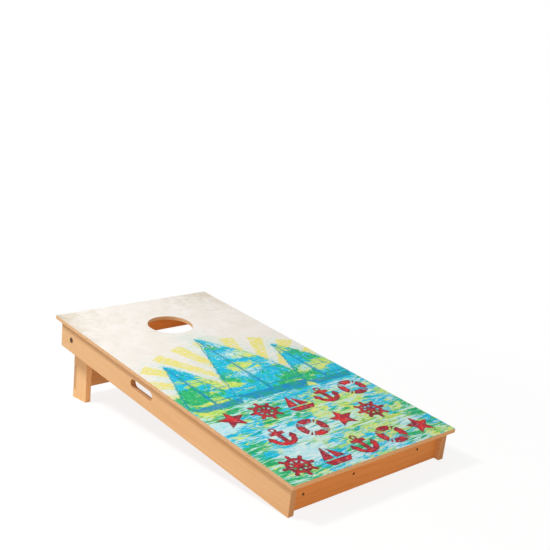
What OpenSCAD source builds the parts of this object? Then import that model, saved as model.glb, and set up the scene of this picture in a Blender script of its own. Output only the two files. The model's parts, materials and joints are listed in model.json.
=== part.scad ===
// Cornhole board on a fold-out leg frame, standing ready to play.
// Frame: +Z up, +Y towards the raised back, +X right, origin under the middle of the
// board on the ground. Inside on_slope() the board lies flat: y runs from the front edge
// of the deck to the back, and z = 0 is the playing surface, so what is below is minus.

/* [Deck] */
// Width of the deck
deck_w = 609.6; // [600:0.1:620]
// Length of the deck
deck_l = 1219.2; // [1210:0.1:1225]
// Thickness of the deck with its printed skin
deck_t = 12.7; // [12:0.1:13.5]
// Thickness of the printed skin
graphic_t = 0.4; // [0.2:0.1:0.6]
// Diameter of the bag hole
hole_d = 152.4; // [140:0.1:160]
// Centre of the bag hole to the back edge
hole_from_back = 228.6; // [220:0.1:235]
// Height of the back edge above the ground
back_h = 295; // [285:1:305]

/* [Frame rails] */
// Height of the rails
rail_h = 88.9; // [86:0.1:95]
// Thickness of the rails
rail_t = 19; // [18:0.5:20]
// Deck overhang past each side rail
side_overhang = 11.5; // [8:0.5:14]
// Deck overhang past the front ends of the side rails
front_overhang = 16; // [10:1:20]
// Deck overhang past the back ends of the side rails
back_overhang = 23; // [20:0.5:25]
// Depth of the front rail behind the side rails' ends
front_recess = 16; // [8:1:20]
// Front edge of the deck to the front face of the centre rail
centre_rail_y = 560; // [540:5:600]

/* [Handle slots] */
// Length of each slot
slot_l = 120; // [100:1:125]
// Height of each slot
slot_h = 30; // [25:1:32]
// Front edge of the deck to the middle of the slot
slot_y = 697; // [690:1:720]
// Playing surface to the middle of the slot
slot_drop = 52; // [50:1:56]

/* [Blocks and cleats] */
// Thickness of the pivot blocks
pivot_block_t = 18; // [18:0.5:20]
// Height of the pivot blocks
pivot_block_h = 83; // [80:1:85]
// Width of the square corner posts
corner_post_w = 28; // [26:0.5:28.5]
// Height of the corner posts
corner_post_h = 76; // [72:1:80]
// Side of the square cleats under the deck
cleat_w = 18; // [18:0.5:20]
// Width of the glue blocks behind the front rail
glue_block_w = 22; // [18:1:24]
// Depth of the glue blocks
glue_block_d = 24; // [20:1:30]
// Height of the glue blocks
glue_block_h = 62; // [58:1:66]

/* [Leg frame] */
// Width of each leg
leg_w = 86; // [84:0.5:88]
// Thickness of the legs and their brace
leg_t = 19; // [18:0.5:19.5]
// Pivot to the back edge of the deck
pivot_from_back = 90.2; // [89:0.1:91]
// Playing surface to the pivot
pivot_drop = 58; // [57.5:0.1:60]
// Pivot to the top edge of the brace, down the leg
brace_from_pivot = 112; // [100:1:115]
// Height of the brace
brace_h = 87; // [80:1:90]

/* [Hardware] */
// Diameter of the pivot bolts
bolt_d = 8; // [7.5:0.1:8.5]
// Diameter of the bolts' round heads
bolt_head_d = 18.5; // [17:0.5:20]
// Height of the bolts' round heads
bolt_head_h = 4.4; // [4:0.1:5]
// Nut size across its flats
nut_flats = 13; // [12.5:0.1:14]
// Nut height
nut_h = 8; // [7:0.5:9]
// Washer diameter
washer_d = 19; // [17:0.5:22]
// Washer thickness
washer_t = 1.2; // [1:0.1:1.5]
// Diameter of the wood screws' shanks
screw_d = 4.2; // [3.8:0.1:4.5]
// Diameter of the screw heads
screw_head_d = 8; // [7.5:0.1:8.5]

/* [Hidden] */
$fn = 96;

// Running and assembly gaps, measured on the radius or between flat faces
pin_gap = 0.06;
screw_gap = 0.05;
leg_play = 0.1;
stop_gap = 0.4;
overcut = 1;

// Slope: the side rails' front corners and the feet both stand on the ground
frame_h = deck_t + rail_h;
slope_run = deck_l - front_overhang;
tilt = asin(back_h / norm([slope_run, frame_h])) - atan2(frame_h, slope_run);
lift = frame_h * cos(tilt) - front_overhang * sin(tilt);
y_mid = (deck_l * cos(tilt) + deck_t * sin(tilt)) / 2;

// Across the board, measured on the right-hand half
rail_out_x = deck_w / 2 - side_overhang;
rail_in_x = rail_out_x - rail_t;
leg_out_x = rail_in_x - pivot_block_t - washer_t - leg_play;
leg_in_x = leg_out_x - leg_t;
nut_washer_x = leg_in_x - leg_play;
nut_x = nut_washer_x - washer_t;
bolt_l = rail_out_x - nut_x + nut_h + 3;

// Along the board
side_rail_l = deck_l - front_overhang - back_overhang;
front_rail_y = front_overhang + front_recess;
front_rail_in_y = front_rail_y + rail_t;
pivot_y = deck_l - pivot_from_back;
leg_front_y = pivot_y - leg_w / 2;
leg_back_y = pivot_y + leg_w / 2;
back_rail_in_y = leg_back_y + stop_gap;
hole_y = deck_l - hole_from_back;
post_back_y = front_rail_in_y + corner_post_w;

// Down from the playing surface
deck_under = -deck_t;
rail_bottom = -frame_h;
brace_top = -pivot_drop - brace_from_pivot;
cleat_bottom = deck_under - cleat_w;

// Cleats run between the corner posts and the pivot blocks
cleat_clear = 6;
cleat_y = post_back_y + cleat_clear;
cleat_l = leg_front_y - cleat_clear - cleat_y;
cleat_screw_ys = [140, 340, 530, 780, 980];

// Screws through the front rail: distance from the middle, and drop
front_screw_spots = [[-234, 61], [-58, 55], [190, 51]];

// Screw lengths
screw_head_h = 3.6;
screw_tip_h = 6;
short_screw_l = 25;
block_screw_l = 32;
frame_screw_l = 40;
long_screw_l = 50;

// Pocket screws of the centre rail
pocket_d = 9.6;
pocket_angle = 15;
pocket_from_end = 38;
pocket_drops = [40, 78];

wood = [0.86, 0.67, 0.48];
wood_dark = [0.72, 0.50, 0.29];
ply = [0.85, 0.68, 0.48];
print_cream = [0.90, 0.88, 0.80];
black_steel = [0.10, 0.10, 0.11];
zinc = [0.70, 0.71, 0.73];

// ---- placing ----

module on_slope() {
    translate([0, -y_mid, lift]) rotate([tilt, 0, 0]) children();
}

// The right-hand half is drawn, and the left is its mirror image
module on_left() {
    mirror([1, 0, 0]) children();
}

module both_sides() {
    children();
    on_left() children();
}

// Turn what points down so that it points another way
module to_front() { rotate([-90, 0, 0]) children(); }
module to_back() { rotate([90, 0, 0]) children(); }
module to_right() { rotate([0, -90, 0]) children(); }
module to_left() { rotate([0, 90, 0]) children(); }
module to_top() { rotate([180, 0, 0]) children(); }

// A board from one corner to the other
module board(low, high) {
    translate(low) cube(high - low);
}

// ---- screws ----

// Countersunk wood screw, its head's face at z = 0 and its tip down
module wood_screw(length) {
    difference() {
        screw_body(length, 0);
        screw_recess();
    }
}

module screw_body(length, gap) {
    shank_r = screw_d / 2 + gap;
    head_r = screw_head_d / 2 + gap;
    translate([0, 0, -screw_head_h]) cylinder(h = screw_head_h, r1 = shank_r, r2 = head_r);
    translate([0, 0, -length + screw_tip_h])
        cylinder(h = length - screw_tip_h - screw_head_h, r = shank_r);
    translate([0, 0, -length - gap])
        cylinder(h = screw_tip_h + gap, r1 = 0.3 + gap, r2 = shank_r);
}

module screw_recess() {
    recess_l = screw_head_d * 0.55;
    recess_w = 1.1;
    recess_h = 1.8;
    for (turn = [0, 90])
        rotate([0, 0, turn])
            translate([-recess_l / 2, -recess_w / 2, -recess_h])
                cube([recess_l, recess_w, recess_h + overcut]);
}

// Room for a screw, open above its head
module screw_room(length) {
    screw_body(length, screw_gap);
    cylinder(h = overcut, r = screw_head_d / 2 + screw_gap);
}

// ---- where each set of screws sits ----

module at_front_screws() {
    for (spot = front_screw_spots)
        translate([spot[0], front_rail_y, -spot[1]]) to_back() children();
}

module at_post_screws() {
    into_side_y = front_rail_in_y + corner_post_w * 0.65;
    into_front_x = rail_in_x - corner_post_w * 0.65;
    both_sides() {
        for (drop = [30, 74])
            translate([rail_in_x - corner_post_w, into_side_y, -drop]) to_right() children();
        for (drop = [44, 60])
            translate([into_front_x, post_back_y, -drop]) to_front() children();
    }
}

module at_pivot_block_screws() {
    both_sides()
        for (y = [leg_front_y + 12, leg_back_y - 14])
            for (drop = [26, 88])
                translate([rail_in_x - pivot_block_t, y, -drop]) to_right() children();
}

module at_back_rail_screws() {
    both_sides()
        for (drop = [40, 74])
            translate([rail_in_x - pivot_block_t / 2, back_rail_in_y + rail_t, -drop])
                to_front() children();
}

module at_cleat_screws() {
    both_sides()
        for (y = cleat_screw_ys)
            translate([rail_in_x - cleat_w / 2, y, cleat_bottom]) to_top() children();
}

module at_brace_screws() {
    both_sides()
        for (down = [brace_h * 0.25, brace_h * 0.75])
            translate([leg_in_x + leg_t / 2, leg_back_y, brace_top - down]) to_front() children();
}

// Each pocket screw starts in the centre rail's back face and runs into a side rail
module at_pocket_screws() {
    both_sides()
        for (drop = pocket_drops)
            translate([rail_in_x, centre_rail_y + rail_t / 2, -drop])
                rotate([0, 0, -pocket_angle]) to_right()
                    translate([0, 0, pocket_from_end - block_screw_l / 2]) children();
}

module pocket_room() {
    screw_room(block_screw_l);
    cylinder(h = pocket_from_end * 2, r = pocket_d / 2);
}

// ---- deck ----

module deck_hole() {
    translate([0, hole_y, -deck_t - overcut])
        cylinder(h = deck_t + 2 * overcut, d = hole_d, $fn = 180);
}

module deck() {
    color(ply) on_slope() difference() {
        board([-deck_w / 2, 0, deck_under], [deck_w / 2, deck_l, -graphic_t]);
        deck_hole();
        at_cleat_screws() screw_room(short_screw_l);
    }
}

module deck_graphic() {
    color(print_cream) on_slope() difference() {
        board([-deck_w / 2, 0, -graphic_t], [deck_w / 2, deck_l, 0]);
        deck_hole();
    }
}

// ---- frame rails ----

// A slot with round ends, cut from side to side
module handle_slot() {
    end_y = slot_l / 2 - slot_h / 2;
    cut_l = rail_t + 2 * overcut;
    translate([rail_in_x - overcut, slot_y, -slot_drop]) {
        for (y = [-end_y, end_y])
            translate([0, y, 0]) rotate([0, 90, 0]) cylinder(h = cut_l, d = slot_h);
        translate([0, -end_y, -slot_h / 2]) cube([cut_l, 2 * end_y, slot_h]);
    }
}

module side_rail() {
    color(wood) on_slope() difference() {
        board([rail_in_x, front_overhang, rail_bottom],
              [rail_out_x, front_overhang + side_rail_l, deck_under]);
        handle_slot();
        bolt_room();
        at_post_screws() screw_room(frame_screw_l);
        at_pivot_block_screws() screw_room(block_screw_l);
        at_pocket_screws() pocket_room();
    }
}

module side_rail_left() { on_left() side_rail(); }
module side_rail_right() { side_rail(); }

module front_rail() {
    color(wood) on_slope() difference() {
        board([-rail_in_x, front_rail_y, rail_bottom], [rail_in_x, front_rail_in_y, deck_under]);
        at_front_screws() screw_room(block_screw_l);
        at_post_screws() screw_room(frame_screw_l);
    }
}

module back_rail() {
    color(wood) on_slope() difference() {
        board([-rail_in_x, back_rail_in_y, rail_bottom],
              [rail_in_x, back_rail_in_y + rail_t, deck_under]);
        at_back_rail_screws() screw_room(long_screw_l);
    }
}

// The centre rail is notched at its top corners for the cleats
module centre_rail() {
    color(wood_dark) on_slope() difference() {
        board([-rail_in_x, centre_rail_y, rail_bottom],
              [rail_in_x, centre_rail_y + rail_t, deck_under]);
        both_sides()
            board([rail_in_x - cleat_w, centre_rail_y - overcut, cleat_bottom],
                  [rail_in_x + overcut, centre_rail_y + rail_t + overcut, deck_under + overcut]);
        at_pocket_screws() pocket_room();
    }
}

// ---- blocks and cleats ----

module corner_post() {
    color(wood_dark) on_slope() difference() {
        board([rail_in_x - corner_post_w, front_rail_in_y, deck_under - corner_post_h],
              [rail_in_x, post_back_y, deck_under]);
        at_post_screws() screw_room(frame_screw_l);
    }
}

module corner_post_left() { on_left() corner_post(); }
module corner_post_right() { corner_post(); }

module front_glue_blocks() {
    color(wood_dark) on_slope() difference() {
        for (spot = front_screw_spots)
            board([spot[0] - glue_block_w / 2, front_rail_in_y, deck_under - glue_block_h],
                  [spot[0] + glue_block_w / 2, front_rail_in_y + glue_block_d, deck_under]);
        at_front_screws() screw_room(block_screw_l);
    }
}

module deck_cleat() {
    color(wood_dark) on_slope() difference() {
        board([rail_in_x - cleat_w, cleat_y, cleat_bottom],
              [rail_in_x, cleat_y + cleat_l, deck_under]);
        at_cleat_screws() screw_room(short_screw_l);
    }
}

module deck_cleat_left() { on_left() deck_cleat(); }
module deck_cleat_right() { deck_cleat(); }

module pivot_block() {
    color(wood_dark) on_slope() difference() {
        board([rail_in_x - pivot_block_t, leg_front_y, deck_under - pivot_block_h],
              [rail_in_x, back_rail_in_y, deck_under]);
        bolt_room();
        at_pivot_block_screws() screw_room(block_screw_l);
        at_back_rail_screws() screw_room(long_screw_l);
    }
}

module pivot_block_left() { on_left() pivot_block(); }
module pivot_block_right() { pivot_block(); }

// ---- leg frame ----

// A cylinder on the pivot's line, from x_low to x_high
module pivot_round(x_low, x_high, radius) {
    translate([x_low, pivot_y, -pivot_drop]) rotate([0, 90, 0])
        cylinder(h = x_high - x_low, r = radius);
}

// A leg is round at its pivot and cut level at its foot
module leg() {
    color(wood) difference() {
        on_slope() difference() {
            union() {
                pivot_round(leg_in_x, leg_out_x, leg_w / 2);
                board([leg_in_x, leg_front_y, -back_h - leg_w], [leg_out_x, leg_back_y, -pivot_drop]);
            }
            pivot_round(leg_in_x - overcut, leg_out_x + overcut, bolt_d / 2 + pin_gap);
            board([leg_in_x - overcut, leg_back_y - leg_t, brace_top - brace_h],
                  [leg_out_x + overcut, leg_back_y + overcut, brace_top]);
            at_brace_screws() screw_room(frame_screw_l);
        }
        translate([0, -deck_l, -deck_l]) cube([deck_w, 2 * deck_l, deck_l]);
    }
}

module leg_left() { on_left() leg(); }
module leg_right() { leg(); }

module leg_brace() {
    color(wood_dark) on_slope() difference() {
        board([-leg_out_x, leg_back_y - leg_t, brace_top - brace_h],
              [leg_out_x, leg_back_y, brace_top]);
        at_brace_screws() screw_room(frame_screw_l);
    }
}

// ---- pivots ----

// Round-headed bolt with a square neck, the rail's outer face at z = 0 and its end down
module carriage_bolt() {
    head_r = bolt_head_d / 2;
    dome_r = (head_r * head_r + bolt_head_h * bolt_head_h) / (2 * bolt_head_h);
    intersection() {
        translate([0, 0, bolt_head_h - dome_r]) sphere(r = dome_r);
        cylinder(h = bolt_head_h, r = head_r);
    }
    bolt_neck(0);
    translate([0, 0, -bolt_l + 1]) cylinder(h = bolt_l - 1, d = bolt_d);
    translate([0, 0, -bolt_l]) cylinder(h = 1, d1 = bolt_d - 1.6, d2 = bolt_d);
}

module bolt_neck(gap) {
    neck_w = bolt_d + 2 * gap;
    neck_h = 5 + gap;
    translate([-neck_w / 2, -neck_w / 2, -neck_h]) cube([neck_w, neck_w, neck_h]);
}

module at_bolt() {
    translate([rail_out_x, pivot_y, -pivot_drop]) to_left() children();
}

module bolt_room() {
    at_bolt() {
        translate([0, 0, -bolt_l]) cylinder(h = bolt_l + overcut, r = bolt_d / 2 + screw_gap);
        bolt_neck(screw_gap);
    }
}

module pivot_bolt() {
    color(black_steel) on_slope() at_bolt() carriage_bolt();
}

module pivot_bolt_left() { on_left() pivot_bolt(); }
module pivot_bolt_right() { pivot_bolt(); }

module washer(x_low) {
    color(zinc) on_slope() difference() {
        pivot_round(x_low, x_low + washer_t, washer_d / 2);
        pivot_round(x_low - overcut, x_low + washer_t + overcut, bolt_d / 2 + screw_gap);
    }
}

module inner_washer() { washer(rail_in_x - pivot_block_t - washer_t); }
module inner_washer_left() { on_left() inner_washer(); }
module inner_washer_right() { inner_washer(); }

module nut_washer() { washer(nut_x); }
module nut_washer_left() { on_left() nut_washer(); }
module nut_washer_right() { nut_washer(); }

// Hexagon nut with the round collar that holds its locking ring
module lock_nut() {
    hex_h = nut_h * 0.72;
    corner_r = nut_flats / sqrt(3);
    color(zinc) on_slope() difference() {
        union() {
            translate([nut_x - hex_h, pivot_y, -pivot_drop]) rotate([0, 90, 0])
                cylinder(h = hex_h, r = corner_r, $fn = 6);
            pivot_round(nut_x - nut_h, nut_x - hex_h, nut_flats * 0.46);
        }
        pivot_round(nut_x - nut_h - overcut, nut_x + overcut, bolt_d / 2 + screw_gap);
    }
}

module lock_nut_left() { on_left() lock_nut(); }
module lock_nut_right() { lock_nut(); }

// ---- screws in place ----

module front_rail_screws() {
    color(black_steel) on_slope() at_front_screws() wood_screw(block_screw_l);
}

module corner_post_screws() {
    color(zinc) on_slope() at_post_screws() wood_screw(frame_screw_l);
}

module pivot_block_screws() {
    color(zinc) on_slope() at_pivot_block_screws() wood_screw(block_screw_l);
}

module back_rail_screws() {
    color(zinc) on_slope() at_back_rail_screws() wood_screw(long_screw_l);
}

module centre_rail_screws() {
    color(zinc) on_slope() at_pocket_screws() wood_screw(block_screw_l);
}

module cleat_screws() {
    color(zinc) on_slope() at_cleat_screws() wood_screw(short_screw_l);
}

module brace_screws() {
    color(zinc) on_slope() at_brace_screws() wood_screw(frame_screw_l);
}

// ---- drawing ----

deck();
deck_graphic();
side_rail_left();
side_rail_right();
front_rail();
back_rail();
centre_rail();
corner_post_left();
corner_post_right();
front_glue_blocks();
deck_cleat_left();
deck_cleat_right();
pivot_block_left();
pivot_block_right();
leg_left();
leg_right();
leg_brace();
brace_screws();
pivot_bolt_left();
pivot_bolt_right();
inner_washer_left();
inner_washer_right();
nut_washer_left();
nut_washer_right();
lock_nut_left();
lock_nut_right();
front_rail_screws();
corner_post_screws();
pivot_block_screws();
back_rail_screws();
centre_rail_screws();
cleat_screws();
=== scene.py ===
import json
import math

import bmesh
import bpy
import numpy as np
from mathutils import Matrix, Vector


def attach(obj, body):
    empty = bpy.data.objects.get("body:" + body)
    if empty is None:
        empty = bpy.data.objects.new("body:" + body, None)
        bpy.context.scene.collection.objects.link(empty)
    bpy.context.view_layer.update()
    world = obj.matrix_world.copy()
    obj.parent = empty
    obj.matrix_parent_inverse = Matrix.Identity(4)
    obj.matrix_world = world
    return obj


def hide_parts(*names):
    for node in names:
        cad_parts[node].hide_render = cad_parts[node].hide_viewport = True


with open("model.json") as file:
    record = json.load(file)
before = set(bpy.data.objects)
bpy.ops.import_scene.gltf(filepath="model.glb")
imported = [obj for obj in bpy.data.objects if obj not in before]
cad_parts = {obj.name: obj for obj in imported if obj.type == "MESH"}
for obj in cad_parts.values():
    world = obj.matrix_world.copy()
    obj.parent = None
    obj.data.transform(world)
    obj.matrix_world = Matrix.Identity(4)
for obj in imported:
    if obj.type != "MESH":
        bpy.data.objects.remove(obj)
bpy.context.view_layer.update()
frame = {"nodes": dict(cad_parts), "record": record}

# Looks of the cornhole board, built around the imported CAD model.
#
# Lengths are metres in the CAD frame. Pieces are shaped in the board's own slope frame, where x
# runs across, y from the front edge of the deck to the back and z = 0 is the playing surface,
# and are then turned into the CAD frame. The printed picture is laid out in millimetres.

MM = 0.001

# ---------------------------------------------------------------- slope frame

mounts = {mount["name"]: mount for mount in frame["record"]["mounts"]}
UP = Vector(mounts["bag_hole"]["axis"]).normalized()
ALONG = Vector((0, UP.z, -UP.y))


def slope_frame():
    """The matrix that turns a point of the slope frame into the CAD frame."""
    corners = [v.co for v in frame["nodes"]["deck_graphic"].data.vertices]
    surface = Vector(mounts["playing_surface"]["pos_m"])
    front = min(corner.dot(ALONG) for corner in corners)
    origin = surface - ALONG * (surface.dot(ALONG) - front)
    turn = Matrix((Vector((1, 0, 0)), ALONG, UP)).transposed().to_4x4()
    return Matrix.Translation(origin) @ turn


SLOPE = slope_frame()
FLAT = SLOPE.inverted()


def slope_box(node):
    """Lowest and highest corner of a CAD node in the slope frame."""
    points = np.array([FLAT @ v.co for v in frame["nodes"][node].data.vertices])
    return Vector(points.min(0)), Vector(points.max(0))


DECK_LOW, DECK_HIGH = slope_box("deck")
SKIN_LOW, SKIN_HIGH = slope_box("deck_graphic")
RAIL_LOW, RAIL_HIGH = slope_box("side_rail_right")
HOLE = FLAT @ Vector(mounts["bag_hole"]["pos_m"])
HOLE_R = mounts["bag_hole"]["dims"]["r_mm"] * MM
# Half the side of the square round the hole where the plates are netted in rings
WINDOW_HALF = HOLE_R * 1.3

# ---------------------------------------------------------------- mesh helpers


def new_piece(name, mesh, body, node, material):
    """A piece that rides on a body and stands for a CAD node."""
    mesh.transform(SLOPE)
    mesh.materials.append(material)
    piece = bpy.data.objects.new(name, mesh)
    bpy.context.scene.collection.objects.link(piece)
    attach(piece, body)
    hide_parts(node)
    return piece


def point_values(mesh, name, values):
    """A number or a vector for each vertex, which materials read by its name."""
    values = np.asarray(values, np.float32)
    if values.ndim == 1:
        mesh.attributes.new(name, "FLOAT", "POINT").data.foreach_set("value", values)
    else:
        layer = mesh.attributes.new(name, "FLOAT_VECTOR", "POINT")
        layer.data.foreach_set("vector", values.ravel())


def vertex_array(mesh):
    flat = np.zeros(len(mesh.vertices) * 3, np.float32)
    mesh.vertices.foreach_get("co", flat)
    return flat.reshape(-1, 3)


def smooth_with_flat_faces(piece):
    """Smooth shading whose large flat faces stay flat."""
    piece.data.shade_smooth()
    piece.data.set_sharp_from_angle(angle=math.radians(50))
    weighted = piece.modifiers.new("flat faces", "WEIGHTED_NORMAL")
    weighted.keep_sharp = True


# ---------------------------------------------------------------- eased lumber


def merged_cad_mesh(node):
    """A copy of a CAD node in the slope frame, with its flat faces whole again."""
    shape = bmesh.new()
    shape.from_mesh(frame["nodes"][node].data)
    bmesh.ops.remove_doubles(shape, verts=shape.verts, dist=1e-6)
    bmesh.ops.transform(shape, matrix=FLAT, verts=shape.verts)
    bmesh.ops.dissolve_limit(
        shape, angle_limit=math.radians(0.4), verts=shape.verts, edges=shape.edges
    )
    return shape


# The side rails' handle slot: its middle, its length and its height
SLOT_Y, SLOT_Z = 697 * MM, -52 * MM
SLOT_LENGTH, SLOT_HEIGHT = 120 * MM, 30 * MM


def off_rail_face(place):
    """How far a point lies from the nearer face of its side rail."""
    return min(abs(abs(place.x) - abs(x)) for x in (RAIL_LOW.x, RAIL_HIGH.x))


def near_slot(place, margin_y, margin_z):
    """True within the handle slot's height and length, widened by two margins."""
    along, up = abs(place.y - SLOT_Y), abs(place.z - SLOT_Z)
    return along < SLOT_LENGTH / 2 + margin_y and up < SLOT_HEIGHT / 2 + margin_z


def in_slot(place):
    """True inside a handle slot, short of the rail's two faces."""
    return near_slot(place, 2 * MM, 1 * MM) and off_rail_face(place) > 1 * MM


def on_slot_rim(edge):
    """Edges on the rails' faces, round the handle slot."""
    middle = (edge.verts[0].co + edge.verts[1].co) / 2
    return off_rail_face(middle) < 0.1 * MM and near_slot(middle, 15 * MM, 5 * MM)


SHARP = math.radians(40)
# Cut edges no longer than this go round screw holes and curves, and aren't eased
SHORT_EDGE = 6 * MM


def is_sharp(edge):
    return len(edge.link_faces) == 2 and edge.calc_face_angle_signed(0) > SHARP


def lumber(name, node, body, slot, material, grain, ease=1.2 * MM, rim=None):
    """A board with eased edges. grain is the axis, 0 to 2, that its fibres run along.

    rim is for the side rails: it says which short edges, round the handle slot, are eased too.
    """
    shape = merged_cad_mesh(node)
    worn = shape.faces.layers.float.new("worn")
    end = shape.faces.layers.float.new("end")
    edges = [
        edge for edge in shape.edges
        if is_sharp(edge) and (edge.calc_length() > SHORT_EDGE or (rim and rim(edge)))
    ]
    made = bmesh.ops.bevel(
        shape, geom=edges, offset=ease, offset_type="OFFSET", segments=3, profile=0.5,
        affect="EDGES", clamp_overlap=True,
    )
    for face in made["faces"]:
        face[worn] = 1.0
    for face in shape.faces:
        # The handle slot's walls are marked like end grain, so they take its darker colour. This
        # is painted shade inside the slot.
        slot_wall_painted_shade = rim is not None and in_slot(face.calc_center_median())
        face[end] = float(slot_wall_painted_shade or abs(face.normal[grain]) > 0.9)
    mesh = bpy.data.meshes.new(name)
    shape.to_mesh(mesh)
    shape.free()
    order = [grain, (grain + 1) % 3, (grain + 2) % 3]
    point_values(mesh, "grain", vertex_array(mesh)[:, order])
    piece = new_piece(name, mesh, body, node, material)
    smooth_with_flat_faces(piece)


# ---------------------------------------------------------------- plates with the bag hole


def plan_lines(low, high, centre, cell, around):
    """Grid lines from low to high, with `around` cells across the window round the hole.

    Gives the lines, and how many cells come before the window.
    """
    start, end = centre - WINDOW_HALF, centre + WINDOW_HALF
    before = max(1, round((start - low) / cell))
    after = max(1, round((high - end) / cell))
    return np.concatenate([
        np.linspace(low, start, before + 1)[:-1],
        np.linspace(start, end, around + 1),
        np.linspace(end, high, after + 1)[1:],
    ]), before


def holed_plan(low, high, cell, around, rings):
    """A quad net of the deck's outline with the round hole left open.

    Gives the points, the quads, and the loops of points round the outside and the hole.
    """
    xs, first_x = plan_lines(low.x, high.x, HOLE.x, cell, around)
    ys, first_y = plan_lines(low.y, high.y, HOLE.y, cell, around)
    columns, rows = len(xs), len(ys)
    points = [(float(x), float(y)) for y in ys for x in xs]

    def at(i, j):
        return j * columns + i

    def loop(i0, i1, j0, j1):
        """Points round a rectangle of the net, once round to the left."""
        return (
            [at(i, j0) for i in range(i0, i1)] + [at(i1, j) for j in range(j0, j1)]
            + [at(i, j1) for i in range(i1, i0, -1)] + [at(i0, j) for j in range(j1, j0, -1)]
        )

    last_x, last_y = first_x + around, first_y + around
    quads = [
        (at(i, j), at(i + 1, j), at(i + 1, j + 1), at(i, j + 1))
        for j in range(rows - 1) for i in range(columns - 1)
        if not (first_x <= i < last_x and first_y <= j < last_y)
    ]
    hole = add_rings(points, quads, loop(first_x, last_x, first_y, last_y), rings)
    return points, quads, loop(0, columns - 1, 0, rows - 1), hole


def add_rings(points, quads, window, rings):
    """Fill the window with rings of quads, down to the hole. Gives the loop round the hole."""
    outer = window
    for step in range(1, rings + 1):
        share = step / rings
        inner = []
        for index in window:
            x, y = points[index]
            angle = math.atan2(y - HOLE.y, x - HOLE.x)
            edge_x = HOLE.x + HOLE_R * math.cos(angle)
            edge_y = HOLE.y + HOLE_R * math.sin(angle)
            inner.append(len(points))
            points.append((x + (edge_x - x) * share, y + (edge_y - y) * share))
        for k in range(len(outer)):
            after = (k + 1) % len(outer)
            quads.append((outer[k], outer[after], inner[after], inner[k]))
        outer = inner
    return outer


def on_side(value, low, high):
    """1 at the high side, -1 at the low side and 0 between them."""
    nearly = 0.001 * MM
    return (value > high - nearly) - (value < low + nearly)


def away_from_plate(points, loop, low, high, is_hole):
    """For each point of a loop, the way out of the plate's material, in the plane."""
    ways = []
    for index in loop:
        x, y = points[index]
        if is_hole:
            out = Vector((HOLE.x - x, HOLE.y - y)).normalized()
        else:
            out = Vector((on_side(x, low.x, high.x), on_side(y, low.y, high.y)))
        ways.append(out)
    return ways


def holed_plate(name, low, high, cell, around, rings, ease):
    """A flat plate with the bag hole, its rims eased, top and bottom faces netted alike."""
    points, quads, outside, hole = holed_plan(low, high, cell, around, rings)
    rims = [
        (outside, away_from_plate(points, outside, low, high, False)),
        (hole, away_from_plate(points, hole, low, high, True)),
    ]
    inset = {}
    for loop, ways in rims:
        for index, way in zip(loop, ways):
            inset[index] = way * ease
    flat = [
        (x - inset[k][0], y - inset[k][1]) if k in inset else (x, y)
        for k, (x, y) in enumerate(points)
    ]
    count = len(flat)
    vertices = [(x, y, high.z) for x, y in flat] + [(x, y, low.z) for x, y in flat]
    faces = list(quads) + [tuple(count + k for k in reversed(quad)) for quad in quads]
    # The eased edge's quarter circle, then its mirror image underneath
    turns = [math.radians(turn) for turn in (30, 60, 90)]
    profile = [(math.sin(turn) * ease, high.z - (1 - math.cos(turn)) * ease) for turn in turns]
    profile += [(out, low.z + high.z - z) for out, z in reversed(profile)]
    for loop, ways in rims:
        above = loop
        for out, z in profile:
            below = []
            for index, way in zip(loop, ways):
                x, y = flat[index]
                below.append(len(vertices))
                vertices.append((x + way[0] * out, y + way[1] * out, z))
            faces += side_faces(above, below, loop is hole)
            above = below
        faces += side_faces(above, [count + k for k in loop], loop is hole)
    mesh = bpy.data.meshes.new(name)
    mesh.from_pydata(vertices, [], faces)
    mesh.update()
    return mesh


def side_faces(above, below, flip):
    """Quads between two loops of the same length."""
    made = []
    for k in range(len(above)):
        after = (k + 1) % len(above)
        quad = (above[k], below[k], below[after], above[after])
        made.append(quad[::-1] if flip else quad)
    return made


# ---------------------------------------------------------------- shapes of the picture
# Each gives the distance to a shape in millimetres, negative inside, at every point of an
# n by 2 array. u runs across from the middle of the board, v back from its front edge.


def segment(p, a, b, thick_a, thick_b=None):
    """A bar with round ends, thick_a and thick_b across at its two ends."""
    thick_b = thick_a if thick_b is None else thick_b
    a, b = np.array(a, float), np.array(b, float)
    share = np.clip(((p - a) @ (b - a)) / ((b - a) @ (b - a)), 0, 1)
    nearest = a + share[:, None] * (b - a)
    return np.hypot(*(p - nearest).T) - (thick_a + (thick_b - thick_a) * share) / 2


def disc(p, centre, radius):
    return np.hypot(*(p - np.array(centre, float)).T) - radius


def ring(p, centre, radius, thick):
    return abs(disc(p, centre, radius)) - thick / 2


def slab(p, centre, width, height, turn=0):
    """A rectangle, turned by so many degrees."""
    c, s = math.cos(math.radians(turn)), math.sin(math.radians(turn))
    q = p - np.array(centre, float)
    along = abs(q[:, 0] * c + q[:, 1] * s) - width / 2
    across = abs(q[:, 1] * c - q[:, 0] * s) - height / 2
    outside = np.hypot(np.maximum(along, 0), np.maximum(across, 0))
    return outside + np.minimum(np.maximum(along, across), 0)


def polygon(p, corners):
    corners = np.array(corners, float)
    nearest = np.full(len(p), np.inf)
    inside = np.zeros(len(p), bool)
    for a, b in zip(corners, np.roll(corners, -1, 0)):
        nearest = np.minimum(nearest, segment(p, a, b, 0))
        rises = (a[1] > p[:, 1]) != (b[1] > p[:, 1])
        run = (b[0] - a[0]) / (b[1] - a[1] if b[1] != a[1] else 1e-9)
        inside ^= rises & (p[:, 0] < a[0] + (p[:, 1] - a[1]) * run)
    return np.where(inside, -nearest, nearest)


def merge(*shapes):
    return np.minimum.reduce(shapes)


def cut(shape, *tools):
    return np.maximum.reduce([shape] + [-tool for tool in tools])


# ---- the red marks: plain nautical signs, their numbers in shares of their height ----


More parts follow.
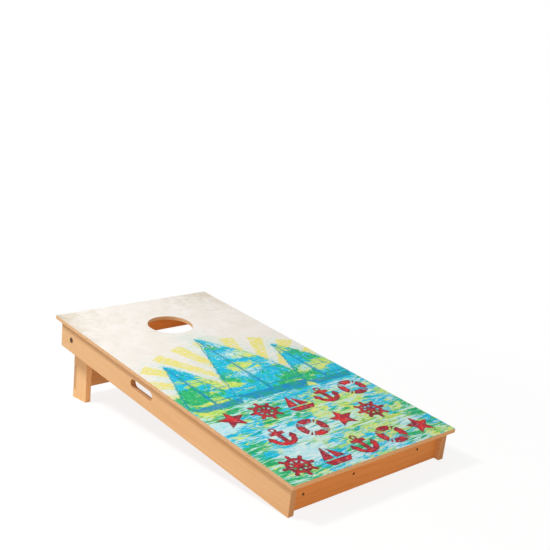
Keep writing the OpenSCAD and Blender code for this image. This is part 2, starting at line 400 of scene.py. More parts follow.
def anchor(p, centre, height):
    x, y = centre
    bar = height * 0.18
    arms = cut(
        ring(p, (x, y - height * 0.06), height * 0.34, bar),
        slab(p, (x, y + height * 0.28), height * 1.2, height * 0.62),
    )
    flukes = [
        polygon(p, [
            (x + side * height * 0.20, y - height * 0.10),
            (x + side * height * 0.50, y - height * 0.13),
            (x + side * height * 0.40, y + height * 0.12),
        ])
        for side in (-1, 1)
    ]
    return merge(
        ring(p, (x, y + height * 0.39), height * 0.09, height * 0.07),
        slab(p, (x, y - height * 0.05), bar, height * 0.74),
        slab(p, (x, y + height * 0.20), height * 0.52, bar * 0.85),
        arms, *flukes,
    )


def wheel(p, centre, height):
    """A ship's wheel with eight spokes."""
    spokes = []
    for k in range(8):
        way = np.array((math.cos(k * math.pi / 4), math.sin(k * math.pi / 4)))
        tip = height * 0.48
        spokes.append(segment(p, centre, centre + way * tip, height * 0.085))
        spokes.append(segment(p, centre + way * tip * 0.84, centre + way * tip, height * 0.13))
    return merge(
        ring(p, centre, height * 0.31, height * 0.13), disc(p, centre, height * 0.14), *spokes
    )


def buoy(p, centre, height):
    """A lifebuoy, with two cuts at each side of its four bands."""
    body = ring(p, centre, height * 0.36, height * 0.26)
    turns = [corner + side for corner in (45, 135) for side in (-8, 8)]
    return cut(body, *[slab(p, centre, height, height * 0.05, turn) for turn in turns])


def star(p, centre, height, points=5, waist=0.44):
    corners = []
    for k in range(points * 2):
        angle = math.pi / 2 + k * math.pi / points
        reach = height * (0.5 if k % 2 == 0 else 0.5 * waist)
        corners.append((centre[0] + reach * math.cos(angle), centre[1] + reach * math.sin(angle)))
    return polygon(p, corners)


def boat(p, centre, height):
    """A small boat with two plain sails."""
    hull = [(-0.50, -0.24), (0.50, -0.24), (0.32, -0.48), (-0.34, -0.48)]
    left_sail = [(-0.06, 0.50), (-0.06, -0.18), (-0.44, -0.18)]
    right_sail = [(0.02, 0.36), (0.02, -0.18), (0.38, -0.18)]
    return merge(*[
        polygon(p, [(centre[0] + height * x, centre[1] + height * y) for x, y in corners])
        for corners in (hull, left_sail, right_sail)
    ])


# The sea fills the front third of the deck
SEA_LEVEL = DECK_HIGH.y / MM / 3
# How many signs stand in each row, so that the rows lie like bricks
ROW_COUNTS = (5, 4, 5)
SIGN_KINDS = (wheel, boat, anchor, buoy, star)
SIGN_HEIGHT = 96
SIGN_PITCH = 114
# How many kinds further on each row starts than the one in front of it
KIND_STEP = 2


def signs(p):
    """Equal rows of signs that share the depth of the sea."""
    shapes = []
    for row, count in enumerate(ROW_COUNTS):
        back = (row + 0.5) * SEA_LEVEL / len(ROW_COUNTS)
        for k in range(count):
            across = (k - (count - 1) / 2) * SIGN_PITCH
            kind = SIGN_KINDS[(k + KIND_STEP * row) % len(SIGN_KINDS)]
            shapes.append(kind(p, (across, back), SIGN_HEIGHT))
    return merge(*shapes)


# ---- the view: plain sloops before low hills and a sun ----

# Each sloop's place across and the height of its mast
SLOOPS = [(-212, 300), (0, 440), (212, 300)]
# Heights on a sloop and reaches from its mast, in shares of the mast's height
DECK_UP, BOOM_UP, FOOT_UP, HEAD_UP, TOP_UP = 0.10, 0.15, 0.17, 0.97, 0.99
BOW, STERN = -0.30, 0.31
SEAMS = 3
SUN_R, RAY_REACH, RAY_COUNT = 150, 420, 13
# The bare ring between the sun and its rays, and half a ray's width in shares of its pitch
SUN_GAP, RAY_SHARE = 26, 0.26
HILL_HEIGHT = 84


def on_sloop(sloop, right, up):
    """A point of a sloop: right of its mast and above the sea, in shares of its height."""
    across, height = sloop
    return across + right * height, SEA_LEVEL + up * height


def leech(up):
    """How far right the mainsail reaches at a height, both in shares of the mast's."""
    down = (HEAD_UP - up) / (HEAD_UP - FOOT_UP)
    return 0.03 + 0.30 * down + 0.06 * math.sin(math.pi * down)


def sails(p):
    edge = [(leech(up), up) for up in np.linspace(HEAD_UP, FOOT_UP, 9)]
    main = [(0.02, HEAD_UP)] + edge + [(0.02, FOOT_UP)]
    jib = [(-0.02, 0.86), (-0.02, FOOT_UP), (BOW, FOOT_UP)]
    return merge(*[
        polygon(p, [on_sloop(sloop, *corner) for corner in sail])
        for sloop in SLOOPS for sail in (main, jib)
    ])


def masts_and_hulls(p):
    hull = [(BOW, DECK_UP), (STERN, DECK_UP), (0.25, 0), (-0.20, 0)]
    shapes = []
    for sloop in SLOOPS:
        mast_foot, mast_top = on_sloop(sloop, 0, DECK_UP), on_sloop(sloop, 0, 1)
        boom = on_sloop(sloop, 0, BOOM_UP), on_sloop(sloop, 0.34, BOOM_UP)
        shapes.append(polygon(p, [on_sloop(sloop, *corner) for corner in hull]))
        shapes.append(segment(p, mast_foot, mast_top, 11, 5))
        shapes.append(segment(p, *boom, 6))
    return merge(*shapes)


def wave(u, height, length, start=0.0):
    return height * np.sin(u / length + start)


def sea_line(u):
    return SEA_LEVEL + wave(u, 5, 75, 2)


def hills(p):
    """How far above the ridge of the far shore a point lies."""
    u, v = p.T
    return v - SEA_LEVEL - HILL_HEIGHT - wave(u, 16, 58, 0.6) - wave(u, 9, 27)


def sun(p):
    """A disc with spreading rays, standing on the sea."""
    u, v = p.T
    out, angle = np.hypot(u, v - SEA_LEVEL), np.arctan2(v - SEA_LEVEL, u)
    turn = angle * RAY_COUNT / math.pi
    from_ray = (abs(turn - np.floor(turn) - 0.5) - RAY_SHARE) * out * math.pi / RAY_COUNT
    rays = np.maximum.reduce([from_ray, SUN_R + SUN_GAP - out, out - RAY_REACH])
    return merge(rays, out - SUN_R)


def stays():
    """Lines to draw in pen, each from one point to another: stays and the mainsails' seams."""
    lines = []
    for sloop in SLOOPS:
        top = on_sloop(sloop, 0, TOP_UP)
        lines += [(top, on_sloop(sloop, end, DECK_UP)) for end in (BOW, STERN)]
        for k in range(SEAMS):
            up = FOOT_UP + (HEAD_UP - FOOT_UP) * (k + 1) / (SEAMS + 1)
            lines.append((on_sloop(sloop, 0.02, up), on_sloop(sloop, leech(up), up)))
    return lines


# ---- how the paints share the picture ----

# How far across and back the patches of paint are strewn
STREWN_ACROSS, STREWN_BACK = 310, 900


def strewn(p, seed, count, wide, tall):
    """Soft patches strewn over the painted part of the board, the same ones each time."""
    draw = np.random.default_rng(seed)
    total = np.zeros(len(p))
    for _ in range(count):
        u, v = draw.uniform(-STREWN_ACROSS, STREWN_ACROSS), draw.uniform(0, STREWN_BACK)
        size, strength = draw.uniform(0.6, 1.4), draw.uniform(0.5, 1.2)
        total += strength * np.exp(
            -(((p[:, 0] - u) / (wide * size)) ** 2) - ((p[:, 1] - v) / (tall * size)) ** 2
        )
    return total


# ---------------------------------------------------------------- shader helpers


def srgb(red, green, blue):
    """A colour given as 0 to 255 display values."""
    def linear(value):
        value /= 255
        return value / 12.92 if value <= 0.04045 else ((value + 0.055) / 1.055) ** 2.4
    return (linear(red), linear(green), linear(blue), 1)


# How brightly the studio lights the deck, so that inks come out as they are named
DECK_LIGHT = 1.2


def ink(red, green, blue):
    """A printed colour, by how it shows on the lit deck."""
    return (*[min(1, value / DECK_LIGHT) for value in srgb(red, green, blue)[:3]], 1)


class Shader:
    """A material's nodes, made with short calls. Sockets and plain values mix freely."""

    def __init__(self, name):
        self.material = bpy.data.materials.new(name)
        self.material.use_nodes = True
        self.tree = self.material.node_tree
        self.surface = self.tree.nodes["Principled BSDF"]

    def node(self, kind, *inputs, **settings):
        node = self.tree.nodes.new("ShaderNode" + kind)
        for key, value in settings.items():
            setattr(node, key, value)
        for socket, value in zip(node.inputs, inputs):
            self.give(socket, value)
        return node

    def give(self, socket, value):
        if value is None:
            return
        if isinstance(value, bpy.types.NodeSocket):
            self.tree.links.new(value, socket)
        else:
            socket.default_value = value

    def attribute(self, name, vector=False):
        node = self.node("Attribute", attribute_name=name)
        return node.outputs["Vector" if vector else "Fac"]

    def math(self, operation, *values):
        return self.node("Math", *values, operation=operation).outputs[0]

    def scaled(self, vector, factors):
        return self.node("VectorMath", vector, factors, operation="MULTIPLY").outputs[0]

    def moved(self, vector, offset):
        return self.node("VectorMath", vector, offset, operation="ADD").outputs[0]

    def noise(self, vector, scale=1.0, detail=3.0, rough=0.55, bend=0.0, colour=False):
        node = self.node("TexNoise", noise_dimensions="3D")
        self.give(node.inputs["Vector"], vector)
        node.inputs["Scale"].default_value = scale
        node.inputs["Detail"].default_value = detail
        node.inputs["Roughness"].default_value = rough
        node.inputs["Distortion"].default_value = bend
        return node.outputs["Color" if colour else "Fac"]

    def span(self, value, low, high, out_low=0.0, out_high=1.0):
        """value from low to high, taken to out_low to out_high and held there."""
        node = self.node("MapRange", value, low, high, out_low, out_high)
        return node.outputs[0]

    def mix(self, share, a, b):
        """Blend two colours. The Mix node takes them in sockets 6 and 7, and gives socket 2."""
        node = self.node("Mix", data_type="RGBA")
        self.give(node.inputs[0], share)
        self.give(node.inputs[6], a)
        self.give(node.inputs[7], b)
        return node.outputs[2]

    def blend(self, share, a, b):
        return self.math("MULTIPLY_ADD", share, self.math("SUBTRACT", b, a), a)

    def bump(self, height, strength, distance):
        node = self.node("Bump")
        node.inputs["Strength"].default_value = strength
        node.inputs["Distance"].default_value = distance
        self.give(node.inputs["Height"], height)
        self.give(self.surface.inputs["Normal"], node.outputs[0])

    def finish(self, **sockets):
        for name, value in sockets.items():
            self.give(self.surface.inputs[name.replace("_", " ").title()], value)
        return self.material


# ---------------------------------------------------------------- materials


def wood(name, light, dark, offset):
    """Smooth stained softwood. Fibres run along the first axis of the grain coordinates."""
    s = Shader(name)
    place = s.moved(s.attribute("grain", True), offset)
    sway = s.noise(s.scaled(place, (1.4, 9, 9)), detail=2)
    across = s.node("SeparateXYZ", place)
    # Growth rings about 10 mm apart, bent by the sway
    rings = s.math("ADD", across.outputs[1], s.math("MULTIPLY", across.outputs[2], 0.45))
    rings = s.math("ADD", s.math("MULTIPLY", rings, 620.0), s.math("MULTIPLY", sway, 26.0))
    rings = s.math("ADD", s.math("MULTIPLY", s.math("SINE", rings), 0.5), 0.5)
    rings = s.math("POWER", rings, 3.0)
    streaks = s.noise(s.scaled(place, (5, 330, 330)), detail=4, rough=0.65)
    patches = s.noise(s.scaled(place, (2.2, 16, 16)), detail=2)
    pores = s.span(s.noise(s.scaled(place, (45, 1500, 1500)), detail=1), 0.60, 0.72)
    tone = s.math("ADD", s.math("MULTIPLY", rings, 0.24), s.span(streaks, 0.35, 0.72, 0, 0.40))
    tone = s.math("ADD", tone, s.span(patches, 0.35, 0.7, 0, 0.36))
    colour = s.mix(tone, light, dark)
    colour = s.mix(s.math("MULTIPLY", pores, 0.30), colour, dark)
    # End grain is darker. The handle slot's walls take the same darker colour as painted shade.
    end_grain_and_slot_shade = s.math("MULTIPLY", s.attribute("end"), s.span(streaks, 0.3, 0.7, 0.45, 0.7))
    colour = s.mix(end_grain_and_slot_shade, colour, s.mix(0.6, dark, srgb(112, 64, 30)))
    rubbed = s.math("MULTIPLY", s.attribute("worn"), s.span(streaks, 0.35, 0.6, 0.15, 0.5))
    colour = s.mix(rubbed, colour, srgb(246, 212, 170))
    s.bump(s.math("SUBTRACT", streaks, s.math("MULTIPLY", pores, 0.5)), 0.25, 0.4 * MM)
    return s.finish(base_color=colour, roughness=s.span(streaks, 0.3, 0.7, 0.40, 0.56))


def plywood(name):
    """Veneered faces, with the plies showing as bands on every edge."""
    s = Shader(name)
    place = s.attribute("grain", True)
    depth = s.node("SeparateXYZ", place).outputs[2]
    ply = 1.76 * MM
    # Every other ply shows its end grain, with a thin glue line between two plies
    layers = s.math("DIVIDE", depth, ply)
    parity = s.math("GREATER_THAN", s.math("FRACT", s.math("MULTIPLY", layers, 0.5)), 0.5)
    off_middle = s.math("ABSOLUTE", s.math("SUBTRACT", s.math("FRACT", layers), 0.5))
    glue = s.math("GREATER_THAN", off_middle, 0.44)
    fibres = s.noise(s.scaled(place, (60, 60, 900)), detail=4, rough=0.6)
    cross = s.noise(s.scaled(place, (700, 700, 900)), detail=2, rough=0.6)
    face = s.noise(s.scaled(place, (220, 5, 220)), detail=4, rough=0.6)
    along = s.mix(s.span(fibres, 0.3, 0.7), srgb(226, 201, 166), srgb(210, 177, 136))
    end = s.mix(s.span(cross, 0.35, 0.65), srgb(226, 170, 112), srgb(186, 130, 78))
    colour = s.mix(s.math("MULTIPLY", parity, 0.75), along, end)
    colour = s.mix(s.math("MULTIPLY", glue, 0.35), colour, srgb(120, 78, 44))
    gap = s.span(s.noise(s.scaled(place, (26, 26, 420)), detail=1), 0.70, 0.74)
    colour = s.mix(s.math("MULTIPLY", gap, 0.6), colour, srgb(92, 56, 30))
    normal = s.node("NewGeometry").outputs["Normal"]
    facing = s.node("VectorMath", normal, tuple(UP), operation="DOT_PRODUCT").outputs["Value"]
    is_face = s.math("GREATER_THAN", s.math("ABSOLUTE", facing), 0.8)
    veneer = s.mix(s.span(face, 0.3, 0.7), srgb(224, 186, 138), srgb(196, 148, 98))
    colour = s.mix(is_face, colour, veneer)
    s.bump(s.math("ADD", fibres, s.math("MULTIPLY", glue, -0.5)), 0.3, 0.4 * MM)
    return s.finish(base_color=colour, roughness=s.span(fibres, 0.3, 0.7, 0.5, 0.68))


def metal(name, colour, dark, metallic, low, high):
    """Plated or blackened steel with fine scuffs, its roughness from low to high."""
    s = Shader(name)
    place = s.node("TexCoord").outputs["Object"]
    cloud = s.noise(place, 180.0, detail=4, rough=0.6)
    scuffs = s.span(s.noise(s.scaled(place, (900, 2600, 900)), detail=2), 0.58, 0.7)
    shade = s.mix(s.span(cloud, 0.35, 0.7), colour, dark)
    shade = s.mix(s.math("MULTIPLY", scuffs, 0.25), shade, colour)
    s.bump(cloud, 0.12, 0.2 * MM)
    rough = s.span(cloud, 0.3, 0.7, low, high)
    return s.finish(base_color=shade, metallic=metallic, roughness=rough)


def edge_of(s, distance, rough, softness=0.8):
    """1 inside a shape and 0 outside, its outline moved in and out by rough, in mm."""
    return s.span(s.math("ADD", distance, rough), softness, -softness)


def covered(s, noise, share, softness=0.025):
    """A mask that follows a noise and covers about that share of the surface."""
    level = s.math("MULTIPLY_ADD", share, 0.5, noise)
    return s.span(level, 0.75 - softness, 0.75 + softness)


def aged_paper(s, p):
    """Off-white paper with foxed corners and a haze of thin mint strokes."""
    broad = s.noise(p, 0.014, detail=3, rough=0.55, bend=0.8)
    mottle = s.noise(p, 0.03, detail=9, rough=0.74)
    hatch = s.noise(s.scaled(p, (0.045, 0.26, 1)), detail=5, rough=0.72, bend=0.7)
    colour = s.mix(s.span(broad, 0.35, 0.65), ink(243, 239, 233), ink(238, 232, 223))
    stain = s.math("ADD", s.attribute("stain"), s.span(mottle, 0.3, 0.7, -0.55, 0.45))
    colour = s.mix(s.span(stain, 0.15, 1.2, 0, 0.8), colour, ink(200, 184, 156))
    specks = s.span(s.noise(p, 0.5, detail=3, rough=0.7), 0.60, 0.66)
    specks = s.math("MULTIPLY", specks, s.span(stain, 0.2, 0.8))
    colour = s.mix(s.math("MULTIPLY", specks, 0.5), colour, ink(150, 124, 92))
    haze = covered(s, hatch, s.attribute("haze"), 0.05)
    return s.mix(s.math("MULTIPLY", haze, 0.7), colour, ink(168, 224, 214))


def brushed_paint(s, p, sea):
    """Blue paint broken up by green, lime, pale and deep strokes, level strokes in the sea."""
    tall = s.noise(s.scaled(p, (0.040, 0.026, 1)), detail=8, rough=0.72, bend=1.0)
    level = s.noise(s.scaled(p, (0.009, 0.034, 1)), detail=8, rough=0.68, bend=1.2)
    patch = s.blend(sea, tall, level)
    tall = s.noise(s.scaled(p, (0.13, 0.055, 1)), detail=7, rough=0.74, bend=1.0)
    level = s.noise(s.scaled(p, (0.017, 0.095, 1)), detail=7, rough=0.70, bend=1.3)
    stroke = s.blend(sea, tall, level)
    apart = s.scaled(s.moved(p, (400, 900, 0)), (0.022, 0.08, 1))
    other = s.noise(apart, detail=6, rough=0.7, bend=0.9)
    apart = s.scaled(s.moved(p, (900, 300, 0)), (0.014, 0.034, 1))
    warm = s.noise(apart, detail=7, rough=0.68, bend=0.9)

    colour = s.mix(s.span(other, 0.40, 0.60), ink(0, 180, 236), ink(0, 208, 224))
    deep = s.math("MULTIPLY", s.span(stroke, 0.42, 0.36), 0.8)
    colour = s.mix(deep, colour, ink(0, 146, 196))
    leaf = s.mix(s.span(stroke, 0.42, 0.60), ink(6, 168, 104), ink(60, 208, 122))
    colour = s.mix(covered(s, patch, s.attribute("green"), 0.02), colour, leaf)
    lime = s.mix(s.span(other, 0.42, 0.58), ink(158, 226, 92), ink(238, 236, 112))
    lime_share = covered(s, warm, s.attribute("lime"), 0.03)
    lime_share = s.math("MULTIPLY", lime_share, s.span(stroke, 0.38, 0.46))
    colour = s.mix(lime_share, colour, lime)
    pale = s.mix(s.span(other, 0.42, 0.6), ink(226, 246, 246), ink(162, 228, 240))
    pale_share = s.math("MULTIPLY", covered(s, stroke, s.attribute("pale"), 0.02), 0.92)
    return s.mix(pale_share, colour, pale)


def add_sun(s, colour, ragged, dabs):
    """A dry-brushed yellow sun behind the sloops."""
    sun_now = edge_of(s, s.attribute("sun"), s.math("MULTIPLY", ragged, 0.8))
    sun_now = s.math("MULTIPLY", sun_now, s.span(dabs, 0.38, 0.52, 0.15, 0.95))
    return s.mix(sun_now, colour, ink(236, 226, 110))


def add_paint(s, colour, p, frayed, sea):
    """Sails, hills and sea in one broken paint, with loose strokes round the sails."""
    shape = s.math("MINIMUM", s.attribute("sail"), s.attribute("hill"))
    painted = s.math("MAXIMUM", edge_of(s, shape, frayed), sea)
    strokes = s.noise(s.scaled(p, (0.10, 0.16, 1)), detail=6, rough=0.72, bend=1.0)
    loose = covered(s, strokes, s.attribute("loose"))
    painted = s.math("MAXIMUM", painted, loose)
    return s.mix(painted, colour, brushed_paint(s, p, sea))


def add_pen(s, colour, p, frayed, rough, dabs, blot, sea):
    """Masts, hulls, stays and the sails' outlines in broken pen, none of it over the sea."""
    sail_edge = s.math("ADD", s.attribute("sail"), frayed)
    outline = s.span(s.math("ABSOLUTE", sail_edge), 1.6, 0.7, 0, 0.5)
    spar = edge_of(s, s.attribute("spar"), s.math("MULTIPLY", rough, 0.45))
    line = s.math("MAXIMUM", s.math("MAXIMUM", spar, rigging(s, p)), outline)
    line = s.math("MULTIPLY", line, s.span(dabs, 0.32, 0.44, 0.3, 0.9))
    pen = s.mix(s.span(blot, 0.44, 0.56), ink(0, 138, 200), ink(16, 158, 150))
    return s.mix(s.math("MULTIPLY", line, s.span(sea, 0, 1, 1, 0)), colour, pen)


def add_signs(s, colour, p, rough, blot):
    """Red signs, darker round their outlines, with the sea scratched through."""
    sign = s.attribute("sign")
    ripple = s.noise(s.scaled(p, (0.05, 0.24, 1)), detail=5, rough=0.68, bend=0.8)
    scratches = s.noise(s.scaled(p, (0.07, 0.22, 1)), detail=6, rough=0.72)
    inside = edge_of(s, sign, s.math("MULTIPLY", rough, 0.8))
    red = s.mix(s.span(blot, 0.42, 0.56), ink(226, 38, 44), ink(152, 32, 56))
    red = s.mix(s.span(ripple, 0.53, 0.62, 0, 0.6), red, ink(222, 88, 92))
    dark = s.span(s.math("ADD", sign, s.math("MULTIPLY", rough, 1.2)), -5.5, -1.0, 0, 0.75)
    red = s.mix(dark, red, ink(92, 26, 44))
    shown = s.math("MULTIPLY", inside, s.span(scratches, 0.58, 0.64, 1, 0.25))
    return s.mix(shown, colour, red)


def add_wear(s, colour, p):
    """Flecks worn off all over, most along the board's edges."""
    flecks = s.noise(p, 0.5, detail=3, rough=0.75)
    worn = s.math("ADD", flecks, s.span(s.attribute("rim"), 14, 0, 0, 0.15))
    return s.mix(s.span(worn, 0.67, 0.72, 0, 0.7), colour, ink(232, 238, 234))


def printed_skin(name):
    """The worn nautical picture, from the distances held on the skin's points, in mm."""
    s = Shader(name)
    p = s.attribute("art", True)
    fine = s.noise(p, 0.42, detail=4, rough=0.65)
    rough = s.span(fine, 0.25, 0.75, -3.4, 3.4)
    ragged = s.span(s.noise(p, 0.09, detail=4, rough=0.7), 0.25, 0.75, -9, 9)
    frayed = s.math("ADD", rough, ragged)
    dabs = s.noise(s.scaled(p, (0.05, 0.16, 1)), detail=5, rough=0.62, bend=0.6)
    blot = s.noise(p, 0.032, detail=4, rough=0.6)
    sea = edge_of(s, s.attribute("sea"), s.math("MULTIPLY", rough, 1.6))

    colour = aged_paper(s, p)
    colour = add_sun(s, colour, ragged, dabs)
    colour = add_paint(s, colour, p, frayed, sea)
    colour = add_pen(s, colour, p, frayed, rough, dabs, blot, sea)
    colour = add_signs(s, colour, p, rough, blot)
    colour = add_wear(s, colour, p)

    s.bump(s.noise(p, 1.1, detail=2), 0.05, 0.3 * MM)
    s.surface.inputs["Specular IOR Level"].default_value = 0.2
    return s.finish(base_color=colour, roughness=s.span(fine, 0.3, 0.7, 0.40, 0.52))


# How thick the pen draws, how far its edge fades and how widely it sways, in mm
STAY_THICK, STAY_FADE, STAY_SWAY = 3.4, 0.6, 9


def stay_group():
    """A node group that gives the distance from a point to the line between two others."""
    group = bpy.data.node_groups.new("stay", "ShaderNodeTree")
    for name in ("Point", "Start", "Run"):
        group.interface.new_socket(name, in_out="INPUT", socket_type="NodeSocketVector")
    group.interface.new_socket("Distance", in_out="OUTPUT", socket_type="NodeSocketFloat")
    nodes, links = group.nodes, group.links
    source, result = nodes.new("NodeGroupInput"), nodes.new("NodeGroupOutput")

    def vector(operation, *inputs):
        node = nodes.new("ShaderNodeVectorMath")
        node.operation = operation
        for socket, value in zip(node.inputs, inputs):
            links.new(value, socket)
        return node

    start = vector("SUBTRACT", source.outputs["Point"], source.outputs["Start"]).outputs[0]
    run = source.outputs["Run"]
    share = nodes.new("ShaderNodeMath")
    share.operation = "DIVIDE"
    share.use_clamp = True
    links.new(vector("DOT_PRODUCT", start, run).outputs["Value"], share.inputs[0])
    links.new(vector("DOT_PRODUCT", run, run).outputs["Value"], share.inputs[1])
    nearest = vector("SCALE", run)
    links.new(share.outputs[0], nearest.inputs["Scale"])
    gap = vector("SUBTRACT", start, nearest.outputs[0]).outputs[0]
    links.new(vector("LENGTH", gap).outputs["Value"], result.inputs["Distance"])
    return group


def rigging(s, p):
    """Broken pen lines along the stays and seams."""
    group = stay_group()
    flat = s.scaled(p, (1, 1, 0))
    wobble = s.noise(p, 0.03, detail=2, colour=True)
    wobble = s.scaled(s.moved(wobble, (-0.5, -0.5, -0.5)), (STAY_SWAY, STAY_SWAY, 0))
    flat = s.moved(flat, wobble)
    nearest = None
    for start, end in stays():
        run = (end[0] - start[0], end[1] - start[1], 0)
        node = s.node("Group", node_tree=group)
        s.give(node.inputs["Point"], flat)
        node.inputs["Start"].default_value = (*start, 0)
        node.inputs["Run"].default_value = run
        distance = node.outputs[0]
        nearest = distance if nearest is None else s.math("MINIMUM", nearest, distance)
    return s.span(nearest, STAY_THICK / 2 + STAY_FADE, STAY_THICK / 2 - STAY_FADE)


side_wood = wood("side_rail_wood", srgb(222, 187, 144), srgb(206, 161, 112), (0.0, 0.0, 0.0))
# The front rail's wood is darker and warmer than the side rails'. This is partly a different
# board and partly painted shade, for its face turned away from the key light.
front_wood_painted_shade = wood("end_rail_wood_painted_shade", srgb(218, 156, 92), srgb(196, 130, 66), (0.7, 0.31, 0.12))
# The back rail's wood is a more orange copy of the rail wood. This is partly a different board
# and partly painted warm bounce light, for the inside of the box seen through the bag hole.
back_wood_painted_bounce = wood("back_rail_wood_painted_bounce", srgb(234, 164, 88), srgb(214, 140, 64), (2.6, 0.41, 0.21))
leg_wood = wood("leg_wood", srgb(232, 196, 150), srgb(214, 170, 120), (1.9, 0.17, 0.44))
# The wood of the pieces inside the box is a more orange copy of the rail wood. This is partly a
# different board and partly painted warm shade for the inside of the box.
inner_wood = wood("inner_wood", srgb(232, 164, 96), srgb(210, 136, 70), (3.3, 0.23, 0.29))
deck_ply = plywood("deck_plywood")
deck_print = printed_skin("deck_print")
black_steel = metal(
    "black_steel", (0.120, 0.078, 0.045, 1), (0.060, 0.038, 0.022, 1),
    metallic=0.6, low=0.36, high=0.54,
)
zinc_steel = metal(
    "zinc_steel", (0.78, 0.79, 0.81, 1), (0.56, 0.57, 0.60, 1),
    metallic=1.0, low=0.24, high=0.42,
)

# ---------------------------------------------------------------- deck and its skin


def build_deck():
    mesh = holed_plate(
        "deck_panel", DECK_LOW, DECK_HIGH, cell=200 * MM, around=48, rings=2, ease=0.7 * MM
    )
    point_values(mesh, "grain", vertex_array(mesh))
    piece = new_piece("deck_panel", mesh, "board", "deck", deck_ply)
    smooth_with_flat_faces(piece)


# Half the deck's width and all of its length, in the picture's millimetres
HALF_WIDE, LONG = DECK_HIGH.x / MM, DECK_HIGH.y / MM


def stains(u, v):
    """How foxed the paper is: at the two raised corners, and along the left edge by them."""
    to_left = np.hypot(u + HALF_WIDE, (v - LONG) * 0.8)
    to_right = np.hypot(u - HALF_WIDE, (v - LONG) * 1.1)
    to_edge = (u + HALF_WIDE) + np.maximum(0, LONG * 0.78 - v)
    return np.exp(-to_left / 90) + np.exp(-to_right / 150) + 0.5 * np.exp(-to_edge / 24)


def paint_shares(p, below):
    """How much of each broken paint lies at each point. below is 1 in the sea and 0 above it."""
    return {
        "green": 0.34 + 0.01 * below + 0.46 * strewn(p, seed=11, count=34, wide=56, tall=34),
        "lime": 0.20 + 0.18 * below + 0.50 * strewn(p, seed=23, count=34, wide=44, tall=30),
        "pale": 0.28 + 0.12 * below + 0.34 * strewn(p, seed=37, count=22, wide=50, tall=26),
    }


def picture(p):
    """The numbers that the print's material reads: shapes in mm, and shares of paint."""
    u, v = p.T
    sail_field, spar_field = sails(p), masts_and_hulls(p)
    off_sail, off_spar = np.maximum(sail_field, 0), np.maximum(spar_field, 0)
    above_sea = v - sea_line(u)
    shore_fade = 8
    return {
        "stain": stains(u, v),
        "haze": 0.55 * np.exp(-off_sail / 150),
        "sun": sun(p),
        "sail": sail_field,
        "spar": spar_field,
        "loose": 0.04 + 0.60 * np.exp(-off_sail / 12) + 0.35 * np.exp(-off_spar / 9),
        "hill": hills(p),
        "sea": above_sea,
        **paint_shares(p, np.clip(-above_sea / shore_fade, 0, 1)),
        "sign": signs(p),
        "rim": np.minimum(HALF_WIDE - abs(u), np.minimum(v, LONG - v)),
    }


def build_skin():
    cell = 4 * MM
    around = round(2 * WINDOW_HALF / cell)
    mesh = holed_plate(
        "deck_skin", SKIN_LOW, SKIN_HIGH, cell, around, rings=6, ease=0.12 * MM
    )
    art = vertex_array(mesh) / MM
    point_values(mesh, "art", art)
    for name, values in picture(art[:, :2].astype(float)).items():
        point_values(mesh, name, values)
    piece = new_piece("deck_skin", mesh, "board", "deck_graphic", deck_print)
    smooth_with_flat_faces(piece)


build_deck()
build_skin()

# ---------------------------------------------------------------- frame and legs

X_AXIS, Y_AXIS, Z_AXIS = 0, 1, 2
# How far the edges of the side rails and the leg frame are eased
THICK_EASE = 1.5 * MM


def rail_wood_piece(name, node, material, grain, **details):
    lumber(name, node, "board", "rail_wood", material, grain, **details)


def inner_piece(name, node, grain):
    lumber(name, node, "board", "inner_wood", inner_wood, grain)


def leg_piece(name, node, grain):
    lumber(name, node, "leg_frame", "leg_wood", leg_wood, grain, THICK_EASE)


for side in ("left", "right"):
    rail_wood_piece(
        f"rail_{side}", f"side_rail_{side}", side_wood, Y_AXIS, ease=THICK_EASE, rim=on_slot_rim
    )
    inner_piece(f"post_{side}", f"corner_post_{side}", Z_AXIS)
    inner_piece(f"cleat_{side}", f"deck_cleat_{side}", Y_AXIS)
    inner_piece(f"pivot_spacer_{side}", f"pivot_block_{side}", Y_AXIS)
    leg_piece(f"folding_leg_{side}", f"leg_{side}", Z_AXIS)
rail_wood_piece("rail_front", "front_rail", front_wood_painted_shade, X_AXIS)
rail_wood_piece("rail_back", "back_rail", back_wood_painted_bounce, X_AXIS)
inner_piece("rail_centre", "centre_rail", X_AXIS)
inner_piece("glue_blocks", "front_glue_blocks", X_AXIS)
leg_piece("brace_board", "leg_brace", X_AXIS)

# ---------------------------------------------------------------- hardware stays CAD

STEELS = {"black_steel": black_steel, "zinc_steel": zinc_steel}

for entry in frame["record"]["subparts"]:
    if entry["material_slot"] in STEELS:
        part = frame["nodes"][entry["node"]]
        part.material_slots[0].link = "OBJECT"
        part.material_slots[0].material = STEELS[entry["material_slot"]]

# ---------------------------------------------------------------- floor, light and camera


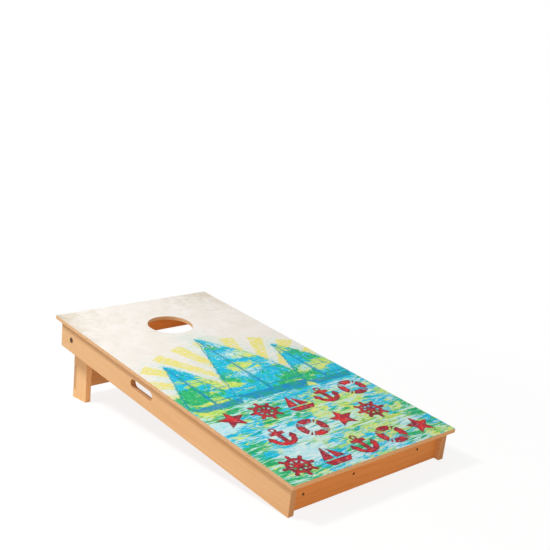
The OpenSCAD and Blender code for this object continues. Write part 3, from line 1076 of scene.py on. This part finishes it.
def floor():
    """A pale floor, white to the camera, and warmer and dimmer as light on the board."""
    mesh = bpy.data.meshes.new("floor")
    reach, under = 30, -0.2 * MM
    corners = [(-reach, -reach), (reach, -reach), (reach, reach), (-reach, reach)]
    mesh.from_pydata([(x, y, under) for x, y in corners], [], [(0, 1, 2, 3)])
    s = Shader("pale_floor")
    place = s.node("TexCoord").outputs["Object"]
    seen = s.node("LightPath").outputs["Is Camera Ray"]
    distance = s.node("VectorMath", place, operation="LENGTH").outputs["Value"]
    far = s.span(distance, 0.5, 1.5, 0.84, 1)
    tone = s.mix(s.noise(place, 3.0), (0.92, 0.92, 0.92, 1), (0.95, 0.95, 0.95, 1))
    tone = s.mix(far, tone, (0, 0, 0, 1))
    s.surface.inputs["Specular IOR Level"].default_value = 0
    mesh.materials.append(s.finish(
        base_color=s.mix(seen, (0.66, 0.53, 0.40, 1), tone), roughness=0.8,
        emission_color=s.mix(seen, (1, 0.66, 0.38, 1), (1, 1, 1, 1)),
        emission_strength=s.blend(seen, s.span(distance, 0.4, 1.2, 0.34, 0.05), far),
    ))
    ground = bpy.data.objects.new("floor", mesh)
    bpy.context.scene.collection.objects.link(ground)


def soft_light(name, place, aim, size, power, colour):
    data = bpy.data.lights.new(name, "AREA")
    data.shape = "DISK"
    data.size = size
    data.energy = power
    data.color = colour
    lamp = bpy.data.objects.new(name, data)
    lamp.location = place
    lamp.rotation_euler = (Vector(aim) - Vector(place)).to_track_quat("-Z", "Y").to_euler()
    lamp.visible_camera = False
    bpy.context.scene.collection.objects.link(lamp)


def surroundings():
    """An even studio, white to the camera and dimmer as light on the board."""
    world = bpy.data.worlds.new("studio")
    world.use_nodes = True
    nodes, links = world.node_tree.nodes, world.node_tree.links
    shade = nodes["Background"]
    ray = nodes.new("ShaderNodeLightPath")
    level = nodes.new("ShaderNodeMapRange")
    level.inputs["To Min"].default_value = 0.42
    level.inputs["To Max"].default_value = 1.0
    links.new(ray.outputs["Is Camera Ray"], level.inputs["Value"])
    links.new(level.outputs[0], shade.inputs["Strength"])
    shade.inputs["Color"].default_value = (1, 1, 1, 1)
    bpy.context.scene.world = world


def camera():
    data = bpy.data.cameras.new("camera")
    data.lens = 58.92
    data.sensor_width = 36
    data.clip_end = 100
    cam = bpy.data.objects.new("camera", data)
    cam.location = (-1.6429, -2.1115, 0.9992)
    heading, dip, roll = 40.274, 10.880, 0.256
    cam.rotation_euler = (math.radians(90 - dip), 0, math.radians(-heading))
    cam.rotation_euler.rotate_axis("Z", math.radians(roll))
    bpy.context.scene.collection.objects.link(cam)
    bpy.context.scene.camera = cam


floor()
surroundings()
soft_light(
    "key", place=(-1.60, 0.95, 3.0), aim=(-0.2, 0.1, 0.1),
    size=0.7, power=106, colour=(1.0, 1.0, 1.0),
)
soft_light(
    "warm_front", place=(-0.9, -3.3, 0.7), aim=(0, -0.3, 0.1),
    size=1.6, power=26, colour=(1.0, 0.60, 0.30),
)
camera()
bpy.context.scene.view_settings.view_transform = "Standard"
